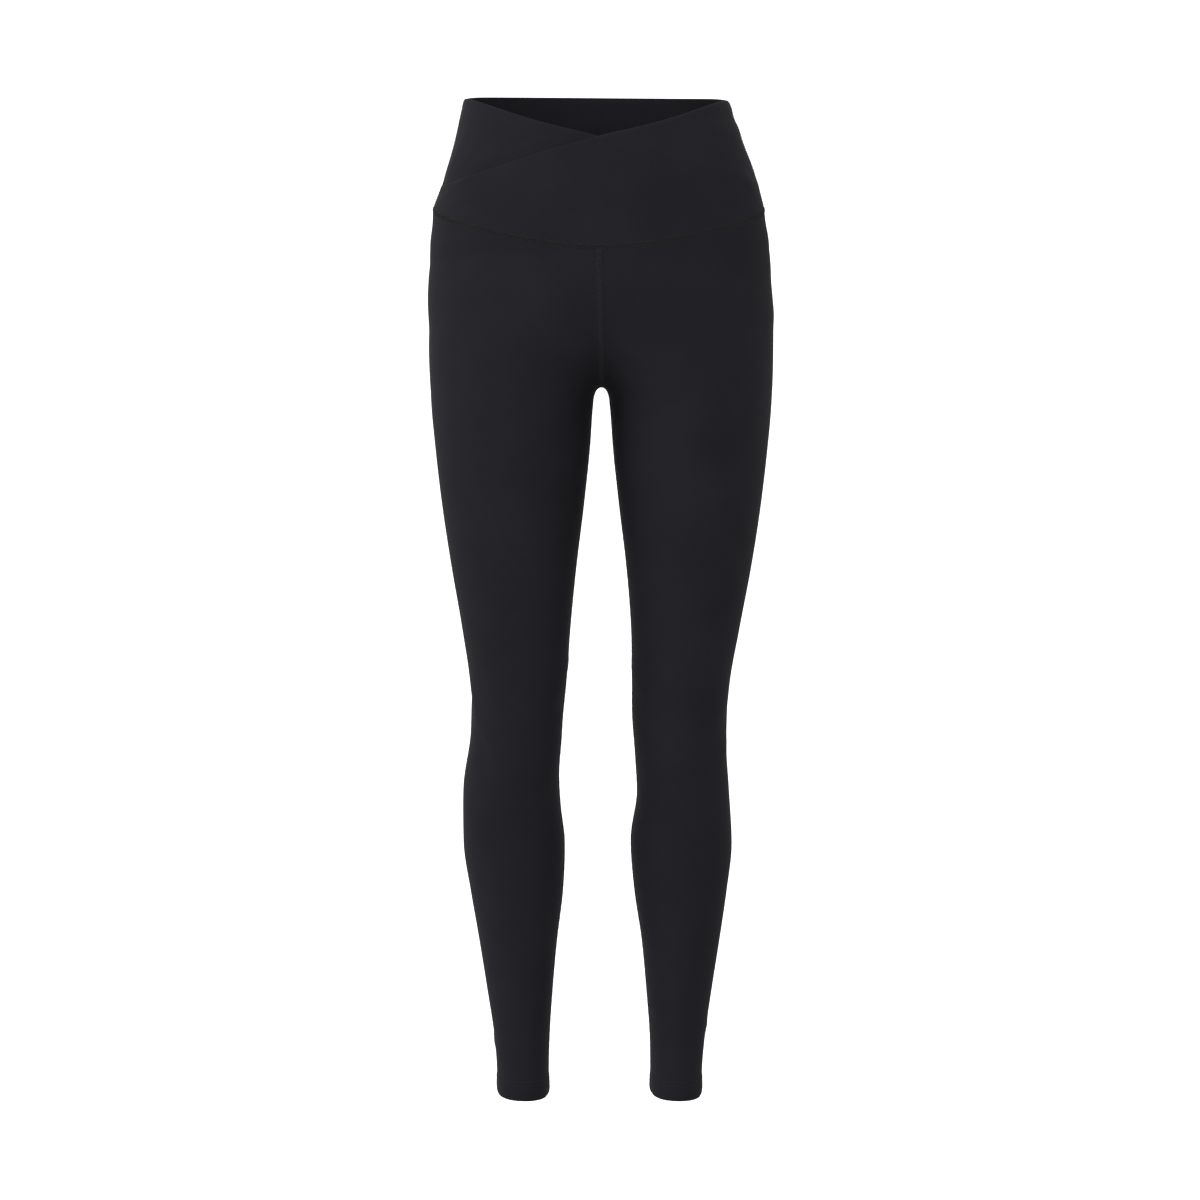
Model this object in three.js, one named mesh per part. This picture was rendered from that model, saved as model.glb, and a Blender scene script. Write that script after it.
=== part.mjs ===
// Crossover leggings, filled out as when worn, with nobody in them.
//
// Five sewn pieces: a one-piece panel for each leg, the back of the waistband, and two front
// waistband panels that cross over each other. Each is a closed wall of cloth.
//
// Units are millimetres and +Z is up. The front faces -Y and the wearer's left is +X.
// Heights are written as a drop, measured down from the waist line, which lies WAIST_EDGE_RISE
// below the waistband's top edge. The origin is the middle of the waistband's hollow,
// ORIGIN_DROP below the waist line.

import * as THREE from 'three';

// Driving dimensions
const ORIGIN_DROP = 50;
const LENGTH = 999;              // waist line to hem
const CROTCH_DROP = 282;         // lowest point of the middle seam
const LEG_WALL = 1.2;
const BAND_WALL = 2.0;           // folded double
const BAND_PROUD = 0.8;          // how far the band stands outside the leg cloth
const WAIST_EDGE_RISE = 4;       // the top edge stands this far above the waist line
const WAIST_EDGE_TILT = 0.8;     // and this much more at the wearer's right, less at the left
const SEAM_GAP = 0.3;            // between two sewn pieces
const SIDE_SEAM_DROP = 105.5;    // lower edge of the band at the side
const FRONT_SEAM_DIP = 33.5;     // how much lower that edge runs at the front
const SEAM_CURVE = 1.2;          // how quickly it rises towards the sides
const NECKLINE_DROP = 32.5;      // where the two front edges cross
const EDGE_STRAIGHTENING = 0.34; // makes a front edge straight as seen from the front
const EDGE_SAG = 1.7;            // how far it hangs below that straight line
const FAR_SIDE_BEND = 14;        // extra drop of a front edge at the far side
const FAR_SIDE_POWER = 3;
const OVERLAP_LIFT = 1.0;        // the upper panel rises over the under panel
const OVERLAP_SINK = 1.5;        // the under panel gives way beneath the upper one
const OVERLAP_RAMP = 12;         // height over which it does so
const FOLD_ROUNDING = 1.2;       // folded edges narrow over this height
const FOLD_PINCH = 0.3;          // share of the wall taken off each side at a fold
const HEM_HEIGHT = 22;
const HEM_PROUD = 0.7;           // the turned hem stands out this far
const HEM_TURN = 1.0;            // and this far inwards

// Sections of the cloth's outer surface, in symmetry about the middle plane x = 0.
// drop    height of the section
// outer   x of the side
// lobe    x of the foremost and rearmost points, 0 where both halves make one oval
// innerF  x where the front inner quarter of the section ends, negative where the legs join
// innerB  the same for the back inner quarter
// front   y of the foremost point
// back    y of the rearmost point
// fillet  size of the rounding where the two halves meet
// sway    how far the pose shifts the section to +X
const SECTIONS = [
  { drop: -6, outer: 127, lobe: 0, innerF: -127, innerB: -127, front: -94, back: 87.8, fillet: 0, sway: -4.8 },
  { drop: 0, outer: 130, lobe: 0, innerF: -130, innerB: -130, front: -95, back: 88, fillet: 0, sway: -4.2 },
  { drop: 8, outer: 133, lobe: 0, innerF: -133, innerB: -133, front: -96.5, back: 89, fillet: 0, sway: -3 },
  { drop: 40, outer: 141.4, lobe: 0, innerF: -141.4, innerB: -141.4, front: -101, back: 92, fillet: 0, sway: -1.8 },
  { drop: 80, outer: 154, lobe: 0, innerF: -154, innerB: -154, front: -106, back: 98, fillet: 0, sway: -1 },
  { drop: 110, outer: 162.5, lobe: 0, innerF: -162.5, innerB: -162.5, front: -108, back: 104, fillet: 0, sway: -1 },
  { drop: 145, outer: 168.2, lobe: 0, innerF: -168.2, innerB: -168.2, front: -108.5, back: 112, fillet: 0, sway: -0.8 },
  { drop: 180, outer: 170.7, lobe: 30, innerF: -146, innerB: -122, front: -107, back: 121, fillet: 4, sway: -0.4 },
  { drop: 220, outer: 171.8, lobe: 58, innerF: -90, innerB: -70, front: -103, back: 125, fillet: 10, sway: 0.3 },
  { drop: 236, outer: 171.7, lobe: 69, innerF: -56, innerB: -43, front: -101.5, back: 123, fillet: 13, sway: 0.5 },
  { drop: 250, outer: 171.5, lobe: 76.5, innerF: -30, innerB: -23, front: -100, back: 119, fillet: 15, sway: 0.6 },
  { drop: 262, outer: 171.2, lobe: 81.5, innerF: -13, innerB: -10, front: -98.7, back: 115, fillet: 16, sway: 0.7 },
  { drop: 272, outer: 170.8, lobe: 84.8, innerF: -3, innerB: -2, front: -97.6, back: 111, fillet: 16, sway: 0.8 },
  { drop: 282, outer: 170.3, lobe: 87, innerF: 4, innerB: 4, front: -96.5, back: 107.3, fillet: 16, sway: 0.9 },
  { drop: 286, outer: 170, lobe: 87.8, innerF: 6.1, innerB: 6.1, front: -96.2, back: 105.9, fillet: 16, sway: 0.9 },
  { drop: 291, outer: 169.8, lobe: 88.5, innerF: 7.8, innerB: 7.8, front: -95.7, back: 104.1, fillet: 16, sway: 0.9 },
  { drop: 300, outer: 169.3, lobe: 89, innerF: 8.9, innerB: 8.9, front: -95.2, back: 101.2, fillet: 16, sway: 0.9 },
  { drop: 340, outer: 165.6, lobe: 88.7, innerF: 11.9, innerB: 11.9, front: -93, back: 89, fillet: 16, sway: 1 },
  { drop: 400, outer: 158.6, lobe: 88.4, innerF: 18.2, innerB: 18.2, front: -88, back: 75, fillet: 16, sway: 1 },
  { drop: 460, outer: 149.5, lobe: 87.5, innerF: 25.5, innerB: 25.5, front: -82, back: 65, fillet: 16, sway: 0.9 },
  { drop: 520, outer: 138.7, lobe: 84.7, innerF: 30.8, innerB: 30.8, front: -77, back: 57, fillet: 16, sway: 0.3 },
  { drop: 580, outer: 129, lobe: 81.3, innerF: 33.6, innerB: 33.6, front: -71, back: 50, fillet: 16, sway: -1.2 },
  { drop: 625, outer: 127.4, lobe: 81.8, innerF: 36.2, innerB: 36.2, front: -67, back: 47, fillet: 16, sway: -2 },
  { drop: 685, outer: 132.6, lobe: 86.2, innerF: 39.8, innerB: 39.8, front: -58.5, back: 55, fillet: 16, sway: -3.6 },
  { drop: 740, outer: 135.1, lobe: 84.5, innerF: 33.8, innerB: 33.8, front: -51, back: 64, fillet: 16, sway: -2.8 },
  { drop: 790, outer: 129.2, lobe: 82.9, innerF: 36.6, innerB: 36.6, front: -47, back: 64, fillet: 16, sway: -1.8 },
  { drop: 840, outer: 121.3, lobe: 82.3, innerF: 43.3, innerB: 43.3, front: -43, back: 55, fillet: 16, sway: -1.1 },
  { drop: 890, outer: 113.4, lobe: 80.7, innerF: 47.9, innerB: 47.9, front: -40, back: 45, fillet: 16, sway: -1 },
  { drop: 940, outer: 106.2, lobe: 78.8, innerF: 51.3, innerB: 51.3, front: -38, back: 39, fillet: 16, sway: -0.8 },
  { drop: 970, outer: 103.9, lobe: 77.8, innerF: 51.9, innerB: 51.9, front: -37, back: 37.5, fillet: 16, sway: -1 },
  { drop: LENGTH, outer: 103.5, lobe: 77.6, innerF: 51.7, innerB: 51.7, front: -37, back: 37.5, fillet: 16, sway: -1 },
];
const SQUARENESS = 2.12;         // 2 is an ellipse, more is fuller at the corners

// Rows of a leg panel. Each runs from the front middle seam (or the inseam) round the outside
// to the back one, and may slope. Above the crotch the seams close in, row by row.
const ROWS_ABOVE_CROTCH = 12;
const SEAM_EASING = 1.9;         // the rows crowd together as the seam turns under
const OUTER_CROTCH_DROP = 303;   // the crotch row's height at the outside
const ROWS_AT_CROTCH = [
  { inseam: 284, outer: 311 },
  { inseam: 288, outer: 321 },
  { inseam: 295, outer: 334 },
  { inseam: 306, outer: 351 },
  { inseam: 322, outer: 371 },
  { inseam: 344, outer: 395 },
  { inseam: 372, outer: 422 },
];
const ROWS_DOWN_THE_LEG = 18;
const LAST_LEG_DROP = LENGTH - HEM_HEIGHT - 1.5;
const HEM_ROWS = [               // drop above the hem's edge, share of the hem's fullness
  { above: HEM_HEIGHT, share: 1 },
  { above: HEM_HEIGHT / 2, share: 1 },
  { above: 1.5, share: 1 },
  { above: 0, share: 0.1 },
];
const LEG_COLUMNS = 32;
const COLUMN_CROWDING = 0.35;    // columns stand closer together beside the seams
const BAND_COLUMNS = 26;

// Value of one column of the table at a drop, smooth and without overshoot.
function tableValue(key, drop) {
  const last = SECTIONS.length - 1;
  const d = Math.min(Math.max(drop, SECTIONS[0].drop), SECTIONS[last].drop);
  let i = 0;
  while (i < last - 1 && SECTIONS[i + 1].drop < d) i += 1;
  const slope = (j) => {
    const rise = SECTIONS[j + 1][key] - SECTIONS[j][key];
    return rise / (SECTIONS[j + 1].drop - SECTIONS[j].drop);
  };
  const tangent = (j) => {
    if (j === 0) return slope(0);
    if (j === last) return slope(last - 1);
    const before = slope(j - 1);
    const after = slope(j);
    if (before * after <= 0) return 0;
    const lengthBefore = SECTIONS[j].drop - SECTIONS[j - 1].drop;
    const lengthAfter = SECTIONS[j + 1].drop - SECTIONS[j].drop;
    const mean = (before * lengthAfter + after * lengthBefore) / (lengthBefore + lengthAfter);
    const most = 3 * Math.min(Math.abs(before), Math.abs(after));
    return Math.sign(mean) * Math.min(Math.abs(mean), most);
  };
  const width = SECTIONS[i + 1].drop - SECTIONS[i].drop;
  const t = (d - SECTIONS[i].drop) / width;
  const start = SECTIONS[i][key];
  const end = SECTIONS[i + 1][key];
  const blend = t * t * (3 - 2 * t);
  const leave = t * (1 - t) * (1 - t) * width * tangent(i);
  const arrive = t * t * (1 - t) * width * tangent(i + 1);
  return start + (end - start) * blend + leave - arrive;
}

function sectionAt(drop) {
  const s = {};
  for (const key of Object.keys(SECTIONS[0])) s[key] = tableValue(key, drop);
  s.middle = (s.front + s.back) / 2;
  return s;
}

// Distance from the section's centre to one half's outline, in a direction.
function outlineRadius(s, dx, dy) {
  const inner = dy < 0 ? s.innerF : s.innerB;
  const across = dx > 0 ? s.outer - s.lobe : s.lobe - inner;
  const along = dy < 0 ? s.middle - s.front : s.back - s.middle;
  const length = Math.hypot(dx, dy) || 1;
  const u = Math.abs(dx) / length / across;
  const v = Math.abs(dy) / length / along;
  return 1 / (u ** SQUARENESS + v ** SQUARENESS) ** (1 / SQUARENESS);
}

function halfDistance(s, x, y) {
  const dx = x - s.lobe;
  const dy = y - s.middle;
  return Math.hypot(dx, dy) - outlineRadius(s, dx, dy);
}

// About how far a point lies outside the cloth: both halves, joined with a rounding.
function distance(x, y, drop, s = sectionAt(drop)) {
  const own = halfDistance(s, x, y);
  const other = halfDistance(s, -x, y);
  const near = Math.max(s.fillet - Math.abs(own - other), 0);
  const rounding = s.fillet > 0 ? (near * near) / (4 * s.fillet) : 0;
  return Math.min(own, other) - rounding;
}

// Direction out of the cloth at a point.
function outward(x, y, drop) {
  const step = 0.4;
  const n = new THREE.Vector3(
    distance(x + step, y, drop) - distance(x - step, y, drop),
    distance(x, y + step, drop) - distance(x, y - step, drop),
    distance(x, y, drop - step) - distance(x, y, drop + step),
  );
  return n.normalize();
}

// Point of the surface seen from the section's centre at an angle: 0 points at the inside of
// the leg, a quarter turn at the front, half a turn at the outside.
function surfacePoint(angle, drop) {
  const s = sectionAt(drop);
  const dx = -Math.cos(angle);
  const dy = -Math.sin(angle);
  const plane = SEAM_GAP / 2;
  const toMiddle = dx < 0 && s.lobe > 0 ? (s.lobe - plane) / -dx : Infinity;
  let near = outlineRadius(s, dx, dy);
  let far = Math.min(near + 2 * s.fillet + 1, toMiddle);
  for (let i = 0; i < 40; i += 1) {
    const half = (near + far) / 2;
    if (distance(s.lobe + half * dx, s.middle + half * dy, drop, s) < 0) near = half;
    else far = half;
  }
  return { x: s.lobe + near * dx, y: s.middle + near * dy, drop };
}

// Angle at which a section reaches the middle seam, in front (side -1) or behind (side 1).
function seamAngle(drop, side) {
  const s = sectionAt(drop);
  const plane = SEAM_GAP / 2;
  let inside = s.middle;
  let outside = (side < 0 ? s.front : s.back) + side * 20;
  if (distance(plane, inside, drop, s) > 0) return side < 0 ? 0 : 2 * Math.PI;
  for (let i = 0; i < 40; i += 1) {
    const half = (inside + outside) / 2;
    if (distance(plane, half, drop, s) < 0) inside = half;
    else outside = half;
  }
  const angle = Math.atan2(s.middle - inside, s.lobe - plane);
  return side < 0 ? angle : 2 * Math.PI + angle;
}

// Moves a surface point out (or in, if negative) and gives it its place in the model.
function placed(point, offset, mirror, plane = null, leastX = -Infinity) {
  const n = outward(point.x, point.y, point.drop);
  const x = plane === null ? Math.max(point.x + n.x * offset, leastX) : plane;
  const drop = point.drop - n.z * offset;
  return [mirror * x + tableValue('sway', drop), point.y + n.y * offset, ORIGIN_DROP - drop];
}

// A closed wall from two grids of points, outer and inner, rows by columns. Rows from
// closedFrom on join their last column to their first, so that the wall becomes a tube.
function wallGeometry(outer, inner, flip, closedFrom = Infinity) {
  const rows = outer.length;
  const columns = outer[0].length;
  const positions = [...outer.flat(), ...inner.flat()].flat();
  const faces = [];
  const at = (layer, r, c) => {
    const column = r >= closedFrom && c === columns - 1 ? 0 : c;
    return (layer * rows + r) * columns + column;
  };
  const face = (a, b, c) => {
    if (a !== b && b !== c && a !== c) faces.push(...(flip ? [a, c, b] : [a, b, c]));
  };
  const quad = (a, b, c, d, cutAC = true) => {
    if (cutAC) {
      face(a, b, c);
      face(a, c, d);
    } else {
      face(b, c, d);
      face(b, d, a);
    }
  };
  const apart = (p, q) => Math.hypot(p[0] - q[0], p[1] - q[1], p[2] - q[2]);
  for (let r = 0; r + 1 < rows; r += 1) {
    for (let c = 0; c + 1 < columns; c += 1) {
      const down = apart(outer[r][c], outer[r + 1][c + 1]);
      const shorter = down <= apart(outer[r + 1][c], outer[r][c + 1]);
      quad(at(0, r, c), at(0, r + 1, c), at(0, r + 1, c + 1), at(0, r, c + 1), shorter);
      quad(at(1, r, c), at(1, r, c + 1), at(1, r + 1, c + 1), at(1, r + 1, c), shorter);
    }
    if (r < closedFrom) {
      const z = columns - 1;
      quad(at(0, r, 0), at(1, r, 0), at(1, r + 1, 0), at(0, r + 1, 0));
      quad(at(0, r, z), at(0, r + 1, z), at(1, r + 1, z), at(1, r, z));
    }
  }
  for (let c = 0; c + 1 < columns; c += 1) {
    const z = rows - 1;
    quad(at(0, 0, c), at(0, 0, c + 1), at(1, 0, c + 1), at(1, 0, c));
    quad(at(0, z, c), at(1, z, c), at(1, z, c + 1), at(0, z, c + 1));
  }
  const used = [...new Set(faces)].sort((p, q) => p - q);
  const place = new Map(used.map((vertex, i) => [vertex, i]));
  const kept = used.flatMap((vertex) => positions.slice(3 * vertex, 3 * vertex + 3));
  const geometry = new THREE.BufferGeometry();
  geometry.setAttribute('position', new THREE.Float32BufferAttribute(kept, 3));
  geometry.setIndex(faces.map((vertex) => place.get(vertex)));
  geometry.computeVertexNormals();
  return geometry;
}

// Lower edge of the waistband. The turn is 0 at the front and grows towards the wearer's left.
function bandSeamDrop(turn) {
  return SIDE_SEAM_DROP + FRONT_SEAM_DIP * Math.max(Math.cos(turn), 0) ** SEAM_CURVE;
}

// Free edge of the front panel that starts at one side: 1 the wearer's left, -1 the right.
function frontEdgeDrop(turn, side) {
  const across = side * Math.sin(turn) * (1 - EDGE_STRAIGHTENING * Math.cos(turn) ** 2);
  const near = Math.max(across, 0);
  const far = Math.max(-across, 0);
  const rise = WAIST_EDGE_RISE - side * WAIST_EDGE_TILT;
  const sag = EDGE_SAG * Math.sin(Math.PI * near) ** 2;
  const bend = FAR_SIDE_BEND * far ** FAR_SIDE_POWER;
  return NECKLINE_DROP - (NECKLINE_DROP + rise) * across + sag + bend;
}

function backEdgeDrop(turn) {
  return WAIST_EDGE_TILT * Math.sin(turn) - WAIST_EDGE_RISE;
}

function smoothStep(value) {
  const t = Math.min(Math.max(value, 0), 1);
  return t * t * (3 - 2 * t);
}

// Rows of a leg: their heights at the front seam, at the outside and at the back seam.
function legRows() {
  const rows = [];
  const top = SEAM_GAP;
  const frontTop = bandSeamDrop(0) + top;
  const sideTop = SIDE_SEAM_DROP + top;
  for (let i = 0; i <= ROWS_ABOVE_CROTCH; i += 1) {
    const left = 1 - i / ROWS_ABOVE_CROTCH;
    const rest = left ** SEAM_EASING;
    rows.push({
      front: CROTCH_DROP + (frontTop - CROTCH_DROP) * rest,
      outer: OUTER_CROTCH_DROP + (sideTop - OUTER_CROTCH_DROP) * left,
      back: CROTCH_DROP + (sideTop - CROTCH_DROP) * rest,
      hem: 0,
    });
  }
  for (const row of ROWS_AT_CROTCH) {
    rows.push({ front: row.inseam, outer: row.outer, back: row.inseam, hem: 0 });
  }
  const start = ROWS_AT_CROTCH[ROWS_AT_CROTCH.length - 1];
  for (let i = 1; i <= ROWS_DOWN_THE_LEG; i += 1) {
    const t = i / ROWS_DOWN_THE_LEG;
    const inseam = start.inseam + (LAST_LEG_DROP - start.inseam) * t;
    rows.push({ front: inseam, outer: start.outer + (LAST_LEG_DROP - start.outer) * t, back: inseam, hem: 0 });
  }
  for (const row of HEM_ROWS) {
    const drop = LENGTH - row.above;
    rows.push({ front: drop, outer: drop, back: drop, hem: row.share });
  }
  return rows;
}

// One leg panel. mirror is 1 for the wearer's left and -1 for the right.
function legGeometry(mirror) {
  const outer = [];
  const inner = [];
  legRows().forEach((row, r) => {
    const open = r < ROWS_ABOVE_CROTCH;
    const from = open ? seamAngle(row.front, -1) : 0;
    const to = open ? seamAngle(row.back, 1) : 2 * Math.PI;
    const outerRow = [];
    const innerRow = [];
    for (let c = 0; c <= LEG_COLUMNS; c += 1) {
      const t = c / LEG_COLUMNS;
      const share = t - (COLUMN_CROWDING * Math.sin(2 * Math.PI * t)) / (2 * Math.PI);
      const frontPart = Math.max(Math.cos(Math.PI * share), 0) ** SEAM_CURVE;
      const backPart = Math.max(-Math.cos(Math.PI * share), 0) ** SEAM_CURVE;
      const sidePart = 1 - frontPart - backPart;
      const drop = row.front * frontPart + row.back * backPart + row.outer * sidePart;
      const point = surfacePoint(from + (to - from) * share, drop);
      const onSeam = r <= ROWS_ABOVE_CROTCH && (c === 0 || c === LEG_COLUMNS);
      const plane = onSeam ? SEAM_GAP / 2 : null;
      outerRow.push(placed(point, HEM_PROUD * row.hem, mirror, plane, SEAM_GAP / 2));
      innerRow.push(placed(point, -LEG_WALL - HEM_TURN * row.hem, mirror, plane, SEAM_GAP / 2));
    }
    outer.push(outerRow);
    inner.push(innerRow);
  });
  return wallGeometry(outer, inner, mirror < 0, ROWS_ABOVE_CROTCH);
}

// Heights of a waistband piece's rows at a turn. Where another panel's edge crosses this one,
// rows lie along that edge and along the start of the ramp above it.
function bandRows(start, end, crossing) {
  const ramp = Math.min(Math.max(crossing - OVERLAP_RAMP, start + 2), end - 6);
  const edge = Math.min(Math.max(crossing, ramp + 2), end - 4);
  const drops = [start];
  for (const [from, to] of [[start, ramp], [ramp, edge], [edge, end]]) {
    drops.push((from + to) / 2, to);
  }
  return drops;
}

// A waistband piece between two turns. top gives its upper edge's drop at a turn, crossing
// the other panel's, and shift how far the cloth is pushed out at a turn and drop.
function bandGeometry(fromTurn, toTurn, top, crossing, shift) {
  const outer = [];
  const inner = [];
  for (let c = 0; c <= BAND_COLUMNS; c += 1) {
    const turn = fromTurn + ((toTurn - fromTurn) * c) / BAND_COLUMNS;
    const fold = top(turn);
    const drops = [fold, ...bandRows(fold + FOLD_ROUNDING, bandSeamDrop(turn), crossing(turn))];
    drops.forEach((drop, r) => {
      const pinch = r === 0 ? FOLD_PINCH * BAND_WALL : 0;
      const point = surfacePoint(turn + Math.PI / 2, drop);
      const out = BAND_PROUD + shift(turn, drop);
      (outer[r] ??= []).push(placed(point, out - pinch, 1));
      (inner[r] ??= []).push(placed(point, out - BAND_WALL + pinch, 1));
    });
  }
  return wallGeometry(outer, inner, false);
}

// The upper panel lies over the under panel below the under panel's free edge.
function upperShift(turn, drop) {
  const below = drop - frontEdgeDrop(turn, -1);
  return OVERLAP_LIFT * smoothStep((below + OVERLAP_RAMP) / OVERLAP_RAMP);
}

// The under panel gives way below the upper panel's free edge.
function underShift(turn, drop) {
  const below = drop - frontEdgeDrop(turn, 1);
  return -OVERLAP_SINK * smoothStep((below + OVERLAP_RAMP) / OVERLAP_RAMP);
}

function piece(name, geometry, color) {
  const material = new THREE.MeshStandardMaterial({ color, roughness: 0.85, metalness: 0 });
  const mesh = new THREE.Mesh(geometry, material);
  mesh.name = name;
  return mesh;
}

const sideTurn = Math.PI / 2;
const sideGap = SEAM_GAP / 2 / SECTIONS[0].outer;
const leggings = new THREE.Group();
leggings.add(piece('leg_left', legGeometry(1), '#222226'));
leggings.add(piece('leg_right', legGeometry(-1), '#222226'));
leggings.add(piece('waistband_back', bandGeometry(
  sideTurn + sideGap,
  3 * sideTurn - sideGap,
  backEdgeDrop,
  () => SIDE_SEAM_DROP / 2,
  () => 0,
), '#25252a'));
for (const [name, side, shift] of [
  ['waistband_front_left', 1, upperShift],
  ['waistband_front_right', -1, underShift],
]) {
  leggings.add(piece(name, bandGeometry(
    -sideTurn + sideGap,
    sideTurn - sideGap,
    (turn) => frontEdgeDrop(turn, side),
    (turn) => frontEdgeDrop(turn, -side),
    shift,
  ), '#25252a'));
}

export default leggings;
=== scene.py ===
# %% [markdown]
# # Crossover leggings
# Full-length compression leggings with a wide waistband whose two front panels cross. They stand
# filled out as when worn, with nobody in them. The pieces are the ones a maker sews: two one-piece
# legs, the back of the waistband and two front panels.
#
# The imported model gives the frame: where each piece lies, at its real size. Here each piece gets a
# finer wall of the same form, its creases, its seams and its cloth.

# %% The frame
import math

import bpy
import numpy as np
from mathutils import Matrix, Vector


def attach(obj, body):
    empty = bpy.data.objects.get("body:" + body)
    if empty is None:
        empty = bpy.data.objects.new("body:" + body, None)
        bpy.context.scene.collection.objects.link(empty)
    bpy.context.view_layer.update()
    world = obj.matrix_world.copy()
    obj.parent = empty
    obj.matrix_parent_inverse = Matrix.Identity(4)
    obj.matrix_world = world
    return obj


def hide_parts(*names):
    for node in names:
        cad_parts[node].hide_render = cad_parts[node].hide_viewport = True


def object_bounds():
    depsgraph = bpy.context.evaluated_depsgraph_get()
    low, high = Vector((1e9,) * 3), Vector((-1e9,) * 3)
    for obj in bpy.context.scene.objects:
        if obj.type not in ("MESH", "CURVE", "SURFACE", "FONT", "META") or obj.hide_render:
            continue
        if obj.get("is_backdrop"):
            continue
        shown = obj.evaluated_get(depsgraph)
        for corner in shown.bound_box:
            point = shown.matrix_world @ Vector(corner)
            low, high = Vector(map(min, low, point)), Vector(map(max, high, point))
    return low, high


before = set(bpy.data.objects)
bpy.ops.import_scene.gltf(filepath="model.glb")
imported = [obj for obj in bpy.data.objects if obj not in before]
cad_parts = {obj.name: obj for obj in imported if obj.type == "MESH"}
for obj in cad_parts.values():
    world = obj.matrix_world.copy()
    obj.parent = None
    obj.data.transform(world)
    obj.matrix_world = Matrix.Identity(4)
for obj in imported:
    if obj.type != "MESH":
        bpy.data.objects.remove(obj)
cad_box = [list(corner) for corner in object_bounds()]
print("nodes:", sorted(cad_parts))
print("box in mm:", [[round(1000 * value) for value in corner] for corner in cad_box])

# %% [markdown]
# ## Camera
# The photograph is a shop picture: a long lens, a little above the middle, level sides. A 135 mm
# lens at four and a half metres gives the same slight perspective at the waist edge and the hems.

# %% Camera
LENS_MM = 135
SENSOR_MM = 36
AIM = (-0.0005, 0, -0.445)
DISTANCE = 4.5
PITCH = math.radians(6.3)


def new_object(name, data):
    made = bpy.data.objects.new(name, data)
    bpy.context.scene.collection.objects.link(made)
    return made


def add_camera():
    data = bpy.data.cameras.new("photo_camera")
    data.lens = LENS_MM
    data.sensor_width = SENSOR_MM
    camera = new_object("photo_camera", data)
    back = DISTANCE * math.cos(PITCH)
    up = DISTANCE * math.sin(PITCH)
    camera.location = (AIM[0], AIM[1] - back, AIM[2] + up)
    camera.rotation_euler = (math.pi / 2 - PITCH, 0, 0)
    bpy.context.scene.camera = camera
    return camera


camera = add_camera()
print("camera at", [round(value, 3) for value in camera.location])

# %% [markdown]
# ## The cloth's form
# The garment is described by sections: at each height, where the outline of one leg half lies.
# The same table and the same formulas made the solids, so the fine cloth has their form.
# A section is a superellipse, an ellipse with slightly fuller corners, one for each half of the
# body, and where the halves meet they blend with a rounding. That one description gives the
# waist, the seat, the crotch and both legs, with no joins to hide.

# %% Driving sizes, in millimetres
ORIGIN_DROP = 50          # heights are drops below the waist line, and the origin lies here
LENGTH = 999              # drop of the hems
CROTCH_DROP = 282
SQUARENESS = 2.12         # 2 would be an ellipse
LEG_WALL = 1.2
BAND_WALL = 2.0
BAND_PROUD = 0.8          # the band's face stands this far out from the plain form
WAIST_EDGE_RISE = 4       # the top edge stands this far above the waist line
WAIST_EDGE_TILT = 0.8     # and this much less at the wearer's left, more at the right
SIDE_SEAM_DROP = 105.5    # lower edge of the band, at the sides and behind
FRONT_SEAM_DIP = 33.5     # how much lower it is at the front middle
SEAM_CURVE = 1.2
NECKLINE_DROP = 32.5      # where the free edges of the two front panels cross
EDGE_STRAIGHTENING = 0.34
EDGE_SAG = 1.7            # of a free edge, above the crossing
FAR_SIDE_BEND = 14        # how far it bends down, past the crossing
FAR_SIDE_POWER = 3
CORNER_DIP = 1.7          # the fold is drawn down this far at each side seam
CORNER_POWER = 40
OVERLAP_LIFT = 1.0        # the upper panel rises this much where it lies on the under panel
OVERLAP_SINK = 1.5        # and the under panel gives way this much
OVERLAP_RAMP = 12         # over this length of cloth
HEM_HEIGHT = 22
MM = 0.001                # in metres

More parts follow.
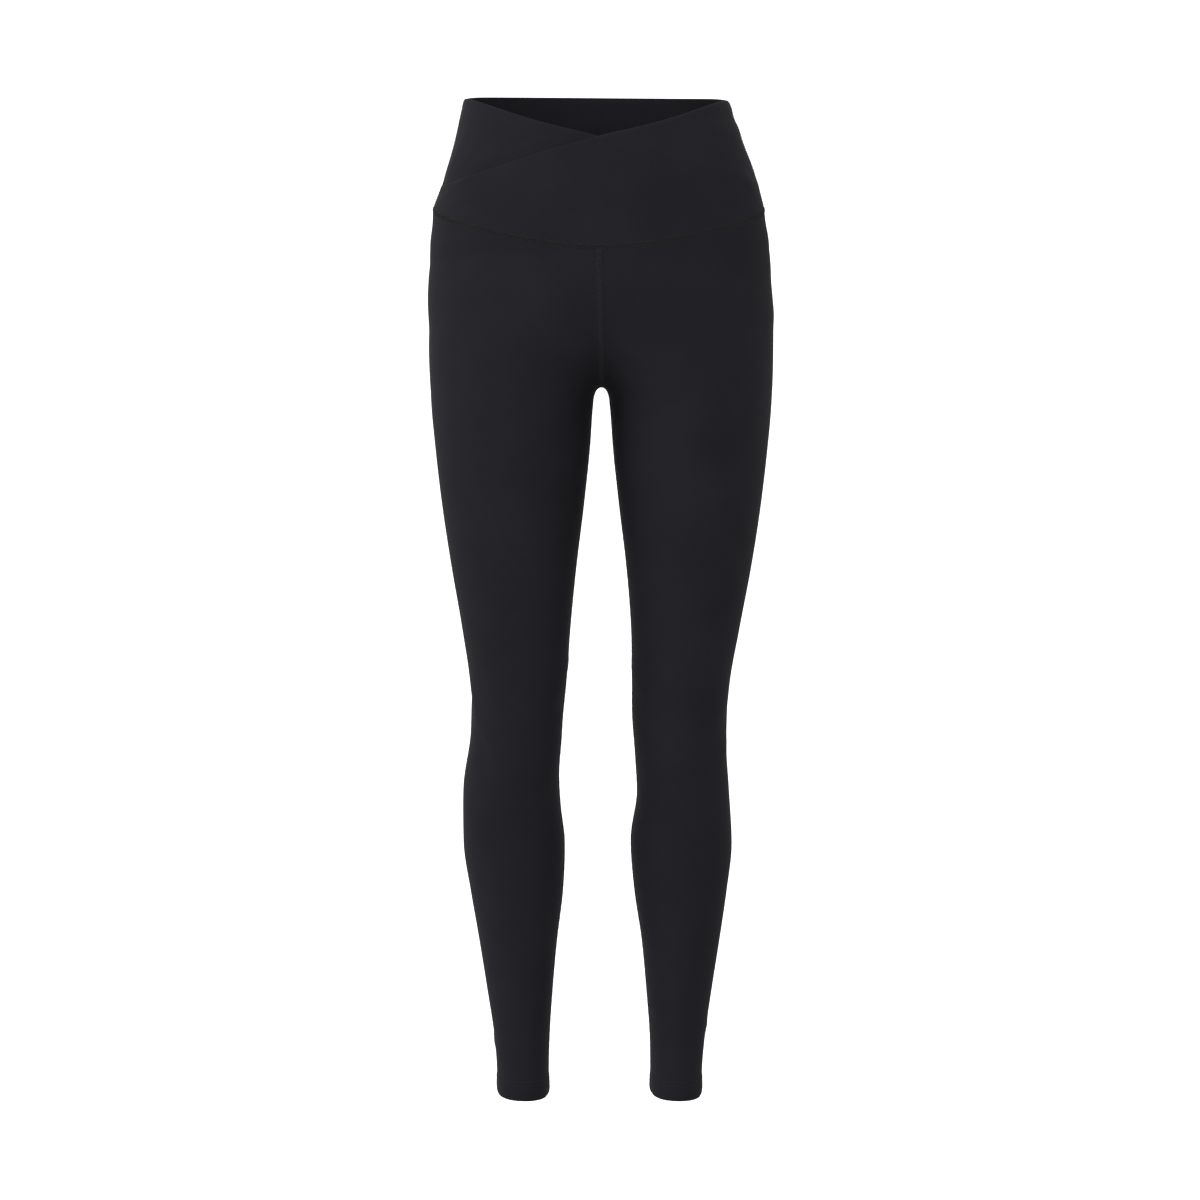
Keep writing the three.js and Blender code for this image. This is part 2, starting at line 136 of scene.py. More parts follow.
# drop, outer side, middle of the leg, inner front, inner back, front, back, rounding, sway
SECTION_COLUMNS = ("drop", "outer", "lobe", "inner_f", "inner_b", "front", "back", "fillet", "sway")
SECTIONS = np.array([
    (-6, 127, 0, -127, -127, -94, 87.8, 0, -4.8),
    (0, 130, 0, -130, -130, -95, 88, 0, -4.2),
    (8, 133, 0, -133, -133, -96.5, 89, 0, -3),
    (40, 141.4, 0, -141.4, -141.4, -101, 92, 0, -1.8),
    (80, 154, 0, -154, -154, -106, 98, 0, -1),
    (110, 162.5, 0, -162.5, -162.5, -108, 104, 0, -1),
    (145, 168.2, 0, -168.2, -168.2, -108.5, 112, 0, -0.8),
    (180, 170.7, 30, -146, -122, -107, 121, 4, -0.4),
    (220, 171.8, 58, -90, -70, -103, 125, 10, 0.3),
    (236, 171.7, 69, -56, -43, -101.5, 123, 13, 0.5),
    (250, 171.5, 76.5, -30, -23, -100, 119, 15, 0.6),
    (262, 171.2, 81.5, -13, -10, -98.7, 115, 16, 0.7),
    (272, 170.8, 84.8, -3, -2, -97.6, 111, 16, 0.8),
    (282, 170.3, 87, 4, 4, -96.5, 107.3, 16, 0.9),
    (286, 170, 87.8, 6.1, 6.1, -96.2, 105.9, 16, 0.9),
    (291, 169.8, 88.5, 7.8, 7.8, -95.7, 104.1, 16, 0.9),
    (300, 169.3, 89, 8.9, 8.9, -95.2, 101.2, 16, 0.9),
    (340, 165.6, 88.7, 11.9, 11.9, -93, 89, 16, 1),
    (400, 158.6, 88.4, 18.2, 18.2, -88, 75, 16, 1),
    (460, 149.5, 87.5, 25.5, 25.5, -82, 65, 16, 0.9),
    (520, 138.7, 84.7, 30.8, 30.8, -77, 57, 16, 0.3),
    (580, 129, 81.3, 33.6, 33.6, -71, 50, 16, -1.2),
    (625, 127.4, 81.8, 36.2, 36.2, -67, 47, 16, -2),
    (685, 132.6, 86.2, 39.8, 39.8, -58.5, 55, 16, -3.6),
    (740, 135.1, 84.5, 33.8, 33.8, -51, 64, 16, -2.8),
    (790, 129.2, 82.9, 36.6, 36.6, -47, 64, 16, -1.8),
    (840, 121.3, 82.3, 43.3, 43.3, -43, 55, 16, -1.1),
    (890, 113.4, 80.7, 47.9, 47.9, -40, 45, 16, -1),
    (940, 106.2, 78.8, 51.3, 51.3, -38, 39, 16, -0.8),
    (970, 103.9, 77.8, 51.9, 51.9, -37, 37.5, 16, -1),
    (LENGTH, 103.5, 77.6, 51.7, 51.7, -37, 37.5, 16, -1),
])
DROPS = SECTIONS[:, 0]


def tangents(values):
    """Slope at each row: the mean of its neighbours, held back so that no curve overshoots."""
    length = np.diff(DROPS)
    slope = np.diff(values) / length
    before, after = slope[:-1], slope[1:]
    mean = (before * length[1:] + after * length[:-1]) / (length[1:] + length[:-1])
    most = 3 * np.minimum(abs(before), abs(after))
    inner = np.where(before * after > 0, np.sign(mean) * np.minimum(abs(mean), most), 0)
    return np.concatenate([slope[:1], inner, slope[-1:]])


CURVES = {name: (SECTIONS[:, i], tangents(SECTIONS[:, i])) for i, name in enumerate(SECTION_COLUMNS)}


def table_value(name, drop):
    """One column of the table at any drop."""
    values, slopes = CURVES[name]
    d = np.clip(drop, DROPS[0], DROPS[-1])
    i = np.clip(np.searchsorted(DROPS, d) - 1, 0, len(DROPS) - 2)
    width = DROPS[i + 1] - DROPS[i]
    t = (d - DROPS[i]) / width
    blend = t * t * (3 - 2 * t)
    leave = t * (1 - t) ** 2 * width * slopes[i]
    arrive = t * t * (1 - t) * width * slopes[i + 1]
    return values[i] + (values[i + 1] - values[i]) * blend + leave - arrive


def section_at(drop):
    section = {name: table_value(name, drop) for name in SECTION_COLUMNS[1:]}
    section["middle"] = (section["front"] + section["back"]) / 2
    return section


print("sections:", len(SECTIONS), "from", DROPS[0], "to", DROPS[-1], "mm")


# %% Distance from the cloth, and its direction outwards
TINY = 1e-9                # keeps a length from being zero
NORMAL_STEP = 0.4          # mm to each side, for the slope of the distance
HALVINGS = 30
PAST_ROUNDING = 1          # mm past the furthest that the rounding reaches
PAST_OUTLINE = 20          # mm past the plain outline, in front or behind
BESIDE_MIDDLE = 0.001      # mm; at the very middle of a section the formula has no direction
HIP_DROP = 180


def outline_radius(s, dx, dy):
    """How far the outline lies from the middle of its half, in the direction dx, dy."""
    across = np.where(dx > 0, s["outer"] - s["lobe"],
                      s["lobe"] - np.where(dy < 0, s["inner_f"], s["inner_b"]))
    along = np.where(dy < 0, s["middle"] - s["front"], s["back"] - s["middle"])
    length = np.maximum(np.hypot(dx, dy), TINY)
    u = abs(dx) / length / across
    v = abs(dy) / length / along
    return 1 / (u ** SQUARENESS + v ** SQUARENESS) ** (1 / SQUARENESS)


def half_distance(s, x, y):
    dx = x - s["lobe"]
    dy = y - s["middle"]
    return np.hypot(dx, dy) - outline_radius(s, dx, dy)


def distance(x, y, s):
    """About how far a point lies outside the cloth, with both halves joined by a rounding."""
    own = half_distance(s, x, y)
    other = half_distance(s, -x, y)
    near = np.maximum(s["fillet"] - abs(own - other), 0)
    rounding = near * near / (4 * np.maximum(s["fillet"], TINY))
    return np.minimum(own, other) - rounding


def outward(x, y, drop):
    """Unit vector out of the cloth: across, to the back, and up."""
    step = NORMAL_STEP
    here = section_at(drop)
    n = np.stack([
        distance(x + step, y, here) - distance(x - step, y, here),
        distance(x, y + step, here) - distance(x, y - step, here),
        distance(x, y, section_at(drop - step)) - distance(x, y, section_at(drop + step)),
    ], -1)
    return n / np.linalg.norm(n, axis=-1, keepdims=True)


def surface_point(angle, drop):
    """x and y of the surface seen from a half's middle: angle 0 is the inside of the leg, a
    quarter turn the front, half a turn the outside. Found by halving an interval."""
    s = section_at(drop)
    dx = -np.cos(angle)
    dy = -np.sin(angle)
    with np.errstate(divide="ignore", invalid="ignore"):
        to_middle = np.where((dx < 0) & (s["lobe"] > 0), s["lobe"] / -dx, np.inf)
    near = outline_radius(s, dx, dy)
    far = np.minimum(near + 2 * s["fillet"] + PAST_ROUNDING, to_middle)
    for _ in range(HALVINGS):
        half = (near + far) / 2
        inside = distance(s["lobe"] + half * dx, s["middle"] + half * dy, s) < 0
        near = np.where(inside, half, near)
        far = np.where(inside, far, half)
    return s["lobe"] + near * dx, s["middle"] + near * dy


def depth_at(s, x, side):
    """y of the surface at one x, in front (-1) or behind (1), by the same halving."""
    inside = s["middle"]
    outside = (s["front"] if side < 0 else s["back"]) + side * PAST_OUTLINE
    for _ in range(HALVINGS):
        half = (inside + outside) / 2
        within = distance(x, half, s) < 0
        inside = np.where(within, half, inside)
        outside = np.where(within, outside, half)
    return inside


def seam_angle(drop, side):
    """Angle at which a section reaches the middle seam, in front (-1) or behind (1)."""
    s = section_at(drop)
    meets = distance(BESIDE_MIDDLE, s["middle"], s) <= 0
    angle = np.arctan2(s["middle"] - depth_at(s, 0, side), s["lobe"])
    if side > 0:
        return np.where(meets, 2 * np.pi + angle, 2 * np.pi)
    return np.where(meets, angle, 0)


def placed(x, y, drop, offset=0.0, mirror=1):
    """Places in the model, in metres, of surface points moved out along the cloth's normal."""
    n = outward(x, y, drop)
    moved = drop - n[..., 2] * offset
    return MM * np.stack([
        mirror * (x + n[..., 0] * offset) + table_value("sway", moved),
        y + n[..., 1] * offset,
        ORIGIN_DROP - moved,
    ], -1)


def smooth_step(value):
    t = np.clip(value, 0, 1)
    return t * t * (3 - 2 * t)


hip_x, _ = surface_point(np.array([np.pi]), np.array([HIP_DROP]))
print("hip half width:", round(float(hip_x[0]), 1), "mm")

# %% [markdown]
# ## A wall of cloth
# Real cloth has two faces and an edge. So each piece is a closed shell: a grid of points for the
# face that shows, a second grid for the inside, and a strip that joins them along the edges.
# Near a fold or a hem the rows stand closer and round off, so that it catches light as a roll.


# %% Grid to mesh
def wall_mesh(name, outer, inner, flip, closed_from=None, measure=None):
    """A closed shell from two grids, rows by columns. From row closed_from on, the last column
    is the first one again. measure holds two grids, mm across and mm down, for the knit."""
    rows, columns = outer.shape[:2]
    index = np.arange(2 * rows * columns).reshape(2, rows, columns)
    if closed_from is not None:
        index[:, closed_from:, -1] = index[:, closed_from:, 0]
    a, b = index[:, :-1, :-1], index[:, 1:, :-1]
    c, d = index[:, 1:, 1:], index[:, :-1, 1:]
    faces = [np.stack([a[0], b[0], c[0], d[0]], -1).reshape(-1, 4)]
    faces.append(np.stack([a[1], d[1], c[1], b[1]], -1).reshape(-1, 4))
    open_rows = rows - 1 if closed_from is None else closed_from
    for column, turned in ((0, False), (columns - 1, True)):
        up, down = index[:, :open_rows, column], index[:, 1:open_rows + 1, column]
        strip = np.stack([up[0], up[1], down[1], down[0]], -1)
        faces.append(strip[:, ::-1] if turned else strip)
    for row, turned in ((0, False), (rows - 1, True)):
        left, right = index[:, row, :-1], index[:, row, 1:]
        strip = np.stack([left[0], right[0], right[1], left[1]], -1)
        faces.append(strip[:, ::-1] if turned else strip)
    faces = np.concatenate(faces)
    if flip:
        faces = faces[:, ::-1]
    points = np.concatenate([outer.reshape(-1, 3), inner.reshape(-1, 3)])
    knit = None
    if measure is not None:
        across, down = (np.tile(grid.ravel(), 2) for grid in measure)
        knit = np.stack([across, down], -1)
    return new_piece(name, points, faces, knit)


def new_piece(name, points, faces, knit=None):
    """A smooth mesh object. Points that no face uses are left out. knit is mm at each point."""
    used, faces = np.unique(faces, return_inverse=True)
    faces = faces.reshape(-1, 4)
    mesh = bpy.data.meshes.new(name)
    mesh.vertices.add(len(used))
    mesh.vertices.foreach_set("co", points[used].ravel())
    mesh.loops.add(faces.size)
    mesh.loops.foreach_set("vertex_index", faces.ravel())
    mesh.polygons.add(len(faces))
    mesh.polygons.foreach_set("loop_start", np.arange(0, faces.size, 4))
    mesh.polygons.foreach_set("use_smooth", np.ones(len(faces), bool))
    if knit is not None:
        layer = mesh.attributes.new("knit", "FLOAT2", "POINT")
        layer.data.foreach_set("vector", (MM * knit[used]).ravel())
    mesh.update(calc_edges=True)
    mesh.validate()
    return new_object(name, mesh)


def arc_lengths(points):
    """Length along each row of a grid of points, in millimetres, from its first column."""
    steps = np.linalg.norm(np.diff(points, axis=1), axis=2) / MM
    return np.concatenate([np.zeros((len(points), 1)), np.cumsum(steps, axis=1)], 1)


# %% [markdown]
# ## Creases and uneven forms
# Stretch jersey that is filled out hangs almost smooth. What shows are drag lines: soft troughs
# and ridges where the cloth is pulled, at the hips, the crotch, the knees and the ankles. Each is
# placed in a table, with its own length, width and depth, since real ones are uneven.
# Painting them as a texture would look flat from the side, so they move the wall itself. Two more
# tables hold broad, slight swellings, which differ from side to side as real ones do.


# %% Crease tool
CREASE_FADE = 1.5          # how soon a crease dies out towards its ends


def crease_shift(creases, turn, drop, radius):
    """How far creases push the cloth out, as a share of the piece's full crease depth. turn is
    in degrees round the piece, tilt in degrees from level, bow is how far the middle of a crease
    sags, and depth is that share, minus for a trough."""
    shift = np.zeros(np.broadcast(turn, drop).shape)
    for at_turn, at_drop, length, width, tilt, bow, depth in creases:
        across = np.radians((turn - at_turn + 180) % 360 - 180) * radius
        down = drop - at_drop
        lean = math.radians(tilt)
        along = across * math.cos(lean) - down * math.sin(lean)
        aside = across * math.sin(lean) + down * math.cos(lean)
        share = 2 * along / length
        aside = aside - bow * (1 - np.minimum(share ** 2, 1))
        fade = np.clip(1 - share ** 2, 0, 1) ** CREASE_FADE
        shift += depth * fade * np.exp(-(aside / width) ** 2)
    return shift


def soft_forms(forms, turn, drop):
    """Broad swellings: centre in degrees and mm, half width, half height, and mm outwards."""
    shift = np.zeros(np.broadcast(turn, drop).shape)
    for at_turn, at_drop, half_width, half_height, push in forms:
        across = ((turn - at_turn + 180) % 360 - 180) / half_width
        shift += push * np.exp(-across ** 2 - ((drop - at_drop) / half_height) ** 2)
    return shift


# turn in degrees round the body: 0 the front, 90 the wearer's left, -90 the right
SIDE_FORMS = [
    (90, 15, 34, 9, -2.2), (90, 66, 34, 20, 1.4), (-90, 108, 24, 13, 1.5),
]

# %% [markdown]
# ## The legs
# Each leg is one panel: it wraps the leg from the front middle seam round the outside to the back
# middle seam, and below the crotch it closes on itself at the inseam. The grid of the wall
# follows those edges, with its rows sloping into the crotch as the cut does. The columns stand
# closer beside the seams, where the cloth rises into a narrow ridge over the seam allowance.

# %% Rows of a leg
ROWS_ABOVE_CROTCH = 12
SEAM_EASING = 1.9          # crowds the rows' ends together towards the crotch
OUTER_CROTCH_DROP = 303    # at the outside, of the row that ends at the crotch
ROWS_AT_CROTCH = [
    (284, 311), (288, 321), (295, 334), (306, 351), (322, 371), (344, 395), (372, 422),
]                          # drop at the inseam, drop at the outside
ROWS_DOWN_THE_LEG = 18
ABOVE_HEM = 2.5            # mm from the last of them to the hem's turned edge
LAST_LEG_DROP = LENGTH - HEM_HEIGHT - ABOVE_HEM
FINER = 5                  # rows made from each of those
CLOSED_FROM = FINER * ROWS_ABOVE_CROTCH
# mm above the hem's edge, then where its outer and inner faces lie, in mm from the leg's face:
# the turned cloth is doubled, pinched at the two needle rows, and rolls in at the edge
HEM_PROFILE = [
    (22.8, 0.05, -1.5), (22.0, 0.3, -2.1), (21.0, 0.5, -2.2), (20.2, 0.25, -2.2),
    (19.4, 0.55, -2.2), (18.4, 0.65, -2.2), (17.4, 0.55, -2.2), (16.6, 0.28, -2.2),
    (15.8, 0.55, -2.2), (14.5, 0.7, -2.2), (11.0, 0.75, -2.2), (7.5, 0.65, -2.25),
    (5.0, 0.4, -2.4), (3.2, 0.0, -2.6), (1.9, -0.5, -2.8), (1.0, -0.95, -2.85),
    (0.4, -1.35, -2.75), (0.0, -1.9, -2.3),
]
HEM_STEP = 0.6             # mm above the profile, where the leg is plain again
NEEDLE_ROWS = (20.2, 16.6)
HEM_TILT = 2.2             # each hem's edge sits this much higher at the viewer's left
HEM_TILT_FROM = 60         # mm above the hem where that begins


def band_seam_drop(turn):
    """Lower edge of the waistband. The turn is 0 at the front and grows to the wearer's left."""
    return SIDE_SEAM_DROP + FRONT_SEAM_DIP * np.maximum(np.cos(turn), 0) ** SEAM_CURVE


def leg_rows():
    """Drops at the front seam, the outside and the back seam of each row."""
    left = 1 - np.arange(ROWS_ABOVE_CROTCH + 1) / ROWS_ABOVE_CROTCH
    rest = left ** SEAM_EASING
    front_top = band_seam_drop(0)
    side_top = SIDE_SEAM_DROP
    front = CROTCH_DROP + (front_top - CROTCH_DROP) * rest
    outer = OUTER_CROTCH_DROP + (side_top - OUTER_CROTCH_DROP) * left
    back = CROTCH_DROP + (side_top - CROTCH_DROP) * rest
    rows = list(zip(front, outer, back))
    rows += [(inseam, outside, inseam) for inseam, outside in ROWS_AT_CROTCH]
    inseam, outside = ROWS_AT_CROTCH[-1]
    for t in np.arange(1, ROWS_DOWN_THE_LEG + 1) / ROWS_DOWN_THE_LEG:
        low = inseam + (LAST_LEG_DROP - inseam) * t
        rows.append((low, outside + (LAST_LEG_DROP - outside) * t, low))
    rows = np.array(rows)
    fine = np.linspace(0, len(rows) - 1, FINER * (len(rows) - 1) + 1)
    rows = np.stack([np.interp(fine, np.arange(len(rows)), rows[:, i]) for i in range(3)], 1)
    hem = [(LENGTH - above,) * 3 for above, _, _ in HEM_PROFILE]
    return np.concatenate([rows, hem])


ROW_DROPS = leg_rows()
print("leg rows:", len(ROW_DROPS))

# %% Columns of a leg
LEG_COLUMNS = 104
SEAM_COLUMNS = (0, 0.5, 1.0, 1.5, 2.1, 2.8, 3.8, 5.5, 8)    # mm from a seam
PATH_SAMPLES = 241         # along a row, to measure it


def row_path(share):
    """Angle and drop at a share of the way along every row, from front seam to back seam."""
    open_row = np.arange(len(ROW_DROPS)) < CLOSED_FROM
    start = np.where(open_row, seam_angle(ROW_DROPS[:, 0], -1), 0)
    end = np.where(open_row, seam_angle(ROW_DROPS[:, 2], 1), 2 * np.pi)
    cosine = np.cos(np.pi * share)
    front_part = np.maximum(cosine, 0) ** SEAM_CURVE
    back_part = np.maximum(-cosine, 0) ** SEAM_CURVE
    front, outer, back = (ROW_DROPS[:, i, None] for i in range(3))
    drop = front * front_part + back * back_part + outer * (1 - front_part - back_part)
    return start[:, None] + (end - start)[:, None] * share, drop


def leg_grid():
    """Angle, drop and mm from the front seam for a grid whose columns hug the seams."""
    coarse = np.tile(np.linspace(0, 1, PATH_SAMPLES), (len(ROW_DROPS), 1))
    angle, drop = row_path(coarse)
    lengths = arc_lengths(placed(*surface_point(angle, drop), drop))
    beside = np.array(SEAM_COLUMNS)
    spread = np.linspace(0, 1, LEG_COLUMNS + 2)[1:-1]
    share = np.empty((len(ROW_DROPS), LEG_COLUMNS + 2 * len(beside)))
    across = np.empty_like(share)
    for row, length in enumerate(lengths):
        total = length[-1]
        between = beside[-1] + (total - 2 * beside[-1]) * spread
        across[row] = np.concatenate([beside, between, total - beside[::-1]])
        share[row] = np.interp(across[row], length, coarse[row])
    angle, drop = row_path(share)
    return angle, drop, across


LEG_GRID = leg_grid()
print("leg columns:", LEG_GRID[0].shape[1])

# %% Creases of the legs
# turn in degrees: 0 the inside of the leg, 90 the front, 180 the outside, 270 the back.
# Then drop, length, width, tilt, bow and depth. 1 is the wearer's left leg and -1 the right.
LEG_CREASES = {
    1: [
        (60, 300, 70, 7, 28, 3, -0.5), (72, 322, 60, 8, 20, 2, 0.35), (48, 330, 52, 7, 34, 2, -0.4),
        (150, 168, 90, 10, -14, 3, -0.4), (165, 205, 80, 12, -8, 2, 0.35),
        (20, 352, 50, 7, 18, 2, 0.4), (20, 560, 60, 8, -10, 3, 0.4), (35, 588, 56, 7, -16, 2, -0.5),
        (160, 604, 62, 9, 12, 3, -0.4), (150, 640, 70, 9, 18, 3, 0.5),
        (270, 598, 92, 7, 4, 3, -0.9), (262, 612, 84, 8, -3, 2, 0.7), (276, 626, 96, 7, 5, 4, -1.0),
        (266, 645, 76, 8, -6, 2, 0.5), (284, 574, 66, 8, 9, 2, -0.5),
        (300, 292, 96, 9, -24, 5, -0.9), (312, 312, 78, 9, -18, 4, 0.6), (292, 268, 84, 10, -30, 4, -0.6),
        (90, 938, 52, 6, 6, 2, -0.35), (180, 925, 48, 6, -7, 2, 0.35), (265, 930, 60, 6, 4, 2, -0.55),
        (282, 908, 52, 7, -5, 2, 0.4), (30, 912, 40, 6, 10, 2, -0.3),
    ],
    -1: [
        (56, 304, 78, 8, 24, 3, -0.5), (70, 330, 58, 7, 30, 2, 0.35), (40, 342, 56, 8, 20, 2, -0.45),
        (158, 150, 96, 9, -18, 4, -0.5), (150, 186, 84, 11, -12, 3, 0.4), (170, 222, 70, 12, -6, 2, -0.3),
        (172, 588, 74, 9, 34, 4, -0.6), (138, 600, 92, 9, 52, 5, 0.6), (118, 650, 96, 10, 58, 4, -0.7),
        (104, 690, 70, 9, 50, 3, 0.5), (26, 590, 58, 8, -14, 3, -0.45), (12, 556, 54, 8, -8, 2, 0.35),
        (268, 592, 88, 8, -4, 3, -0.8), (280, 608, 80, 7, 5, 3, 0.6), (264, 622, 98, 7, -5, 4, -1.0),
        (275, 641, 82, 8, 4, 2, 0.6), (258, 660, 64, 8, -8, 2, -0.5),
        (298, 286, 90, 9, -26, 5, -0.8), (310, 306, 84, 10, -20, 4, 0.6), (296, 326, 70, 9, -14, 3, -0.5),
        (96, 926, 50, 6, -6, 2, -0.3), (176, 940, 52, 6, 6, 2, 0.35), (272, 922, 62, 7, -5, 2, -0.5),
        (258, 902, 50, 6, 6, 2, 0.4),
    ],
}
LEG_FORMS = {
    1: [(0, 610, 50, 26, 1.3), (0, 692, 50, 26, -1.1), (180, 590, 60, 55, 1.1)],
    -1: [(180, 672, 60, 40, 1.8), (0, 690, 50, 22, 1.8), (0, 612, 50, 26, -1.0)],
}
LEG_RADIUS = 62            # a leg's mean radius, for lengths along a crease
LEG_CREASE_DEPTH = 2.6     # mm, of a crease whose share is 1
HEM_CALM = 34              # above the hem's edge, where creases have died out
HEM_CALM_RAMP = 10         # mm over which they do

# %% A leg's outer face
RIDGE_HEIGHT = 0.65        # the allowance under a seam lifts the cloth this much
RIDGE_WIDTH = 2.2
DIP_DEPTH = 0.22           # a slight hollow runs beside the ridge
DIP_ASIDE = 5.4            # mm from the seam to its middle
DIP_WIDTH = 2.2
PUCKER_PITCH = 9.0         # spacing of the faint puckers beside a seam
PUCKER_DEPTH = 0.12
PUCKER_ASIDE = 4.5
PUCKER_WIDTH = 3
PUCKER_DRIFT = 1.7         # radians by which they stray from that spacing, back and forth
PUCKER_DRIFT_LENGTH = 31   # mm to a radian of that
BAND_LEVEL = 0.7           # the leg's top edge rises to the band over its allowance
BAND_LEVEL_FRONT = 0.9     # and this much more in front, where two panels lie
FRONT_RAMP = 0.3           # cosines of the turn over which that comes in at the sides
TOP_RISE_HEIGHT = 9
GROOVE_DEPTH = 0.15        # how far the leg's top edge dips into the waist seam
GROOVE_WIDTH = 1.1


def seam_ridge(aside, along):
    """Push beside a seam: a low ridge, a dip outside it, and faint puckers along its length."""
    ridge = RIDGE_HEIGHT * np.exp(-(aside / RIDGE_WIDTH) ** 2)
    dip = -DIP_DEPTH * np.exp(-((aside - DIP_ASIDE) / DIP_WIDTH) ** 2)
    drift = PUCKER_DRIFT * np.sin(along / PUCKER_DRIFT_LENGTH)
    wave = np.sin(2 * np.pi * along / PUCKER_PITCH + drift)
    pucker = PUCKER_DEPTH * wave * np.exp(-((aside - PUCKER_ASIDE) / PUCKER_WIDTH) ** 2)
    return ridge + dip + pucker


def leg_push(mirror, angle, drop, x, y, aside):
    """How far a leg's face stands out from the plain form, in mm."""
    turn = np.degrees(angle)
    body_turn = np.arctan2(mirror * x, -y)
    push = LEG_CREASE_DEPTH * crease_shift(LEG_CREASES[mirror], turn, drop, LEG_RADIUS)
    push += soft_forms(LEG_FORMS[mirror], turn, drop)
    push *= 1 - smooth_step((drop - LENGTH + HEM_CALM + HEM_CALM_RAMP) / HEM_CALM_RAMP)
    push += soft_forms(SIDE_FORMS, np.degrees(body_turn), drop)
    push += seam_ridge(aside, drop)
    below = drop - band_seam_drop(body_turn)
    level = BAND_LEVEL + BAND_LEVEL_FRONT * smooth_step(np.cos(body_turn) / FRONT_RAMP + 0.5)
    push += level * np.exp(-(below / TOP_RISE_HEIGHT) ** 2)
    return push - GROOVE_DEPTH * np.exp(-(below / GROOVE_WIDTH) ** 2)


def hem_face(drop, face):
    """Where the hem's outer (1) or inner (2) face lies from the leg's face."""
    above, *faces = np.array(HEM_PROFILE[::-1]).T
    flat = 0 if face == 1 else -LEG_WALL
    plain = HEM_PROFILE[0][0] + HEM_STEP
    return np.interp(LENGTH - drop, [*above, plain], [*faces[face - 1], flat])


def hem_tilt(mirror, angle, drop):
    """The drop once the hem's edge is tilted."""
    near = smooth_step((drop - LENGTH + HEM_TILT_FROM) / HEM_TILT_FROM)
    return drop - HEM_TILT * near * (1 + mirror * np.cos(angle)) / 2


def on_leg(mirror, angle, drop, aside, lift=0.0, face=1):
    """Places on a leg, in metres, lift mm above its outer (1) or inner (2) face, and normals."""
    x, y = surface_point(angle, drop)
    push = leg_push(mirror, angle, drop, x, y, aside) + hem_face(drop, face) + lift
    normal = outward(x, y, drop) * (mirror, 1, 1)
    return placed(x, y, hem_tilt(mirror, angle, drop), push, mirror), normal


def build_leg(name, mirror):
    """A leg's wall. Above the crotch its edges lie in the middle plane, where the legs meet."""
    angle, drop, across = LEG_GRID
    aside = np.minimum(across, across[:, -1:] - across)
    faces = [on_leg(mirror, angle, drop, aside, face=face)[0] for face in (1, 2)]
    for grid in faces:
        for column in (0, -1):
            edge = grid[:CLOSED_FROM + 1, column]
            edge[:, 0] = MM * table_value("sway", ORIGIN_DROP - edge[:, 2] / MM)
    leg = wall_mesh(f"{name}_cloth", *faces, mirror < 0, CLOSED_FROM, (across, drop))
    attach(leg, "root")
    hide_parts(name)
    print(leg.name, len(leg.data.polygons), "faces")
    return leg


leg_left = build_leg("leg_left", 1)
leg_right = build_leg("leg_right", -1)

# %% [markdown]
# ## The waistband
# The band is the same jersey, folded double at its upper edge, so it has no stitched edge there:
# it has a soft roll a little over two millimetres thick. At the back it is one piece. In front
# two panels cross. Each starts full height at its own side and slants down to the other side
# seam, and the one from the wearer's left lies on top.

# %% Waistband tools
BAND_COLUMNS = 150
# mm below the fold, then the share of half the wall's thickness on each side of its middle.
# The fold bulges outwards only: inside, it is no thicker than INNER_SHARE.
FOLD_PROFILE = [(0.0, 0.0), (0.12, 0.42), (0.4, 0.78), (0.8, 1.0), (1.3, 1.14), (2.2, 1.28),
                (3.2, 1.32), (4.4, 1.26), (5.8, 1.12), (7.6, 0.97), (10.0, 0.92)]
INNER_SHARE = 0.92
SETTLE = 0.6               # the upper panel's free edge settles this far onto the under panel
SETTLE_HEIGHT = 8
BAND_BODY_ROWS = 34
# mm above the lower edge, share of the half thickness: the band rolls in to its seam
LOWER_PROFILE = [(3.0, 1.0), (1.8, 0.98), (1.0, 0.93), (0.45, 0.85), (0.0, 0.72)]
LOWER_SINK = 0.12          # how far the wall's middle dives to its seam
LOWER_SINK_HEIGHT = 1.2


def front_edge_drop(turn, side):
    """Free edge of the front panel that starts at one side: 1 the wearer's left, -1 the right."""
    across = side * np.sin(turn) * (1 - EDGE_STRAIGHTENING * np.cos(turn) ** 2)
    sag = EDGE_SAG * np.sin(np.pi * np.maximum(across, 0)) ** 2
    bend = FAR_SIDE_BEND * np.maximum(-across, 0) ** FAR_SIDE_POWER
    dip = CORNER_DIP * np.maximum(across, 0) ** CORNER_POWER
    rise = WAIST_EDGE_RISE - side * WAIST_EDGE_TILT
    return NECKLINE_DROP - (NECKLINE_DROP + rise) * across + sag + bend + dip


def back_edge_drop(turn):
    dip = CORNER_DIP * abs(np.sin(turn)) ** CORNER_POWER
    return WAIST_EDGE_TILT * np.sin(turn) - WAIST_EDGE_RISE + dip


def upper_shift(turn, drop):
    """The upper panel rises over the under panel, below the under panel's free edge."""
    below = drop - front_edge_drop(turn, -1)
    own = drop - front_edge_drop(turn, 1)
    lies = smooth_step((below + OVERLAP_RAMP) / OVERLAP_RAMP)
    settles = smooth_step(below / OVERLAP_RAMP) * np.exp(-(own / SETTLE_HEIGHT) ** 2)
    return OVERLAP_LIFT * lies - SETTLE * settles


def under_shift(turn, drop):
    """The under panel gives way beneath the upper one, below its free edge."""
    below = drop - front_edge_drop(turn, 1)
    return -OVERLAP_SINK * smooth_step((below + OVERLAP_RAMP) / OVERLAP_RAMP)


def no_shift(turn, drop):
    return 0 * drop


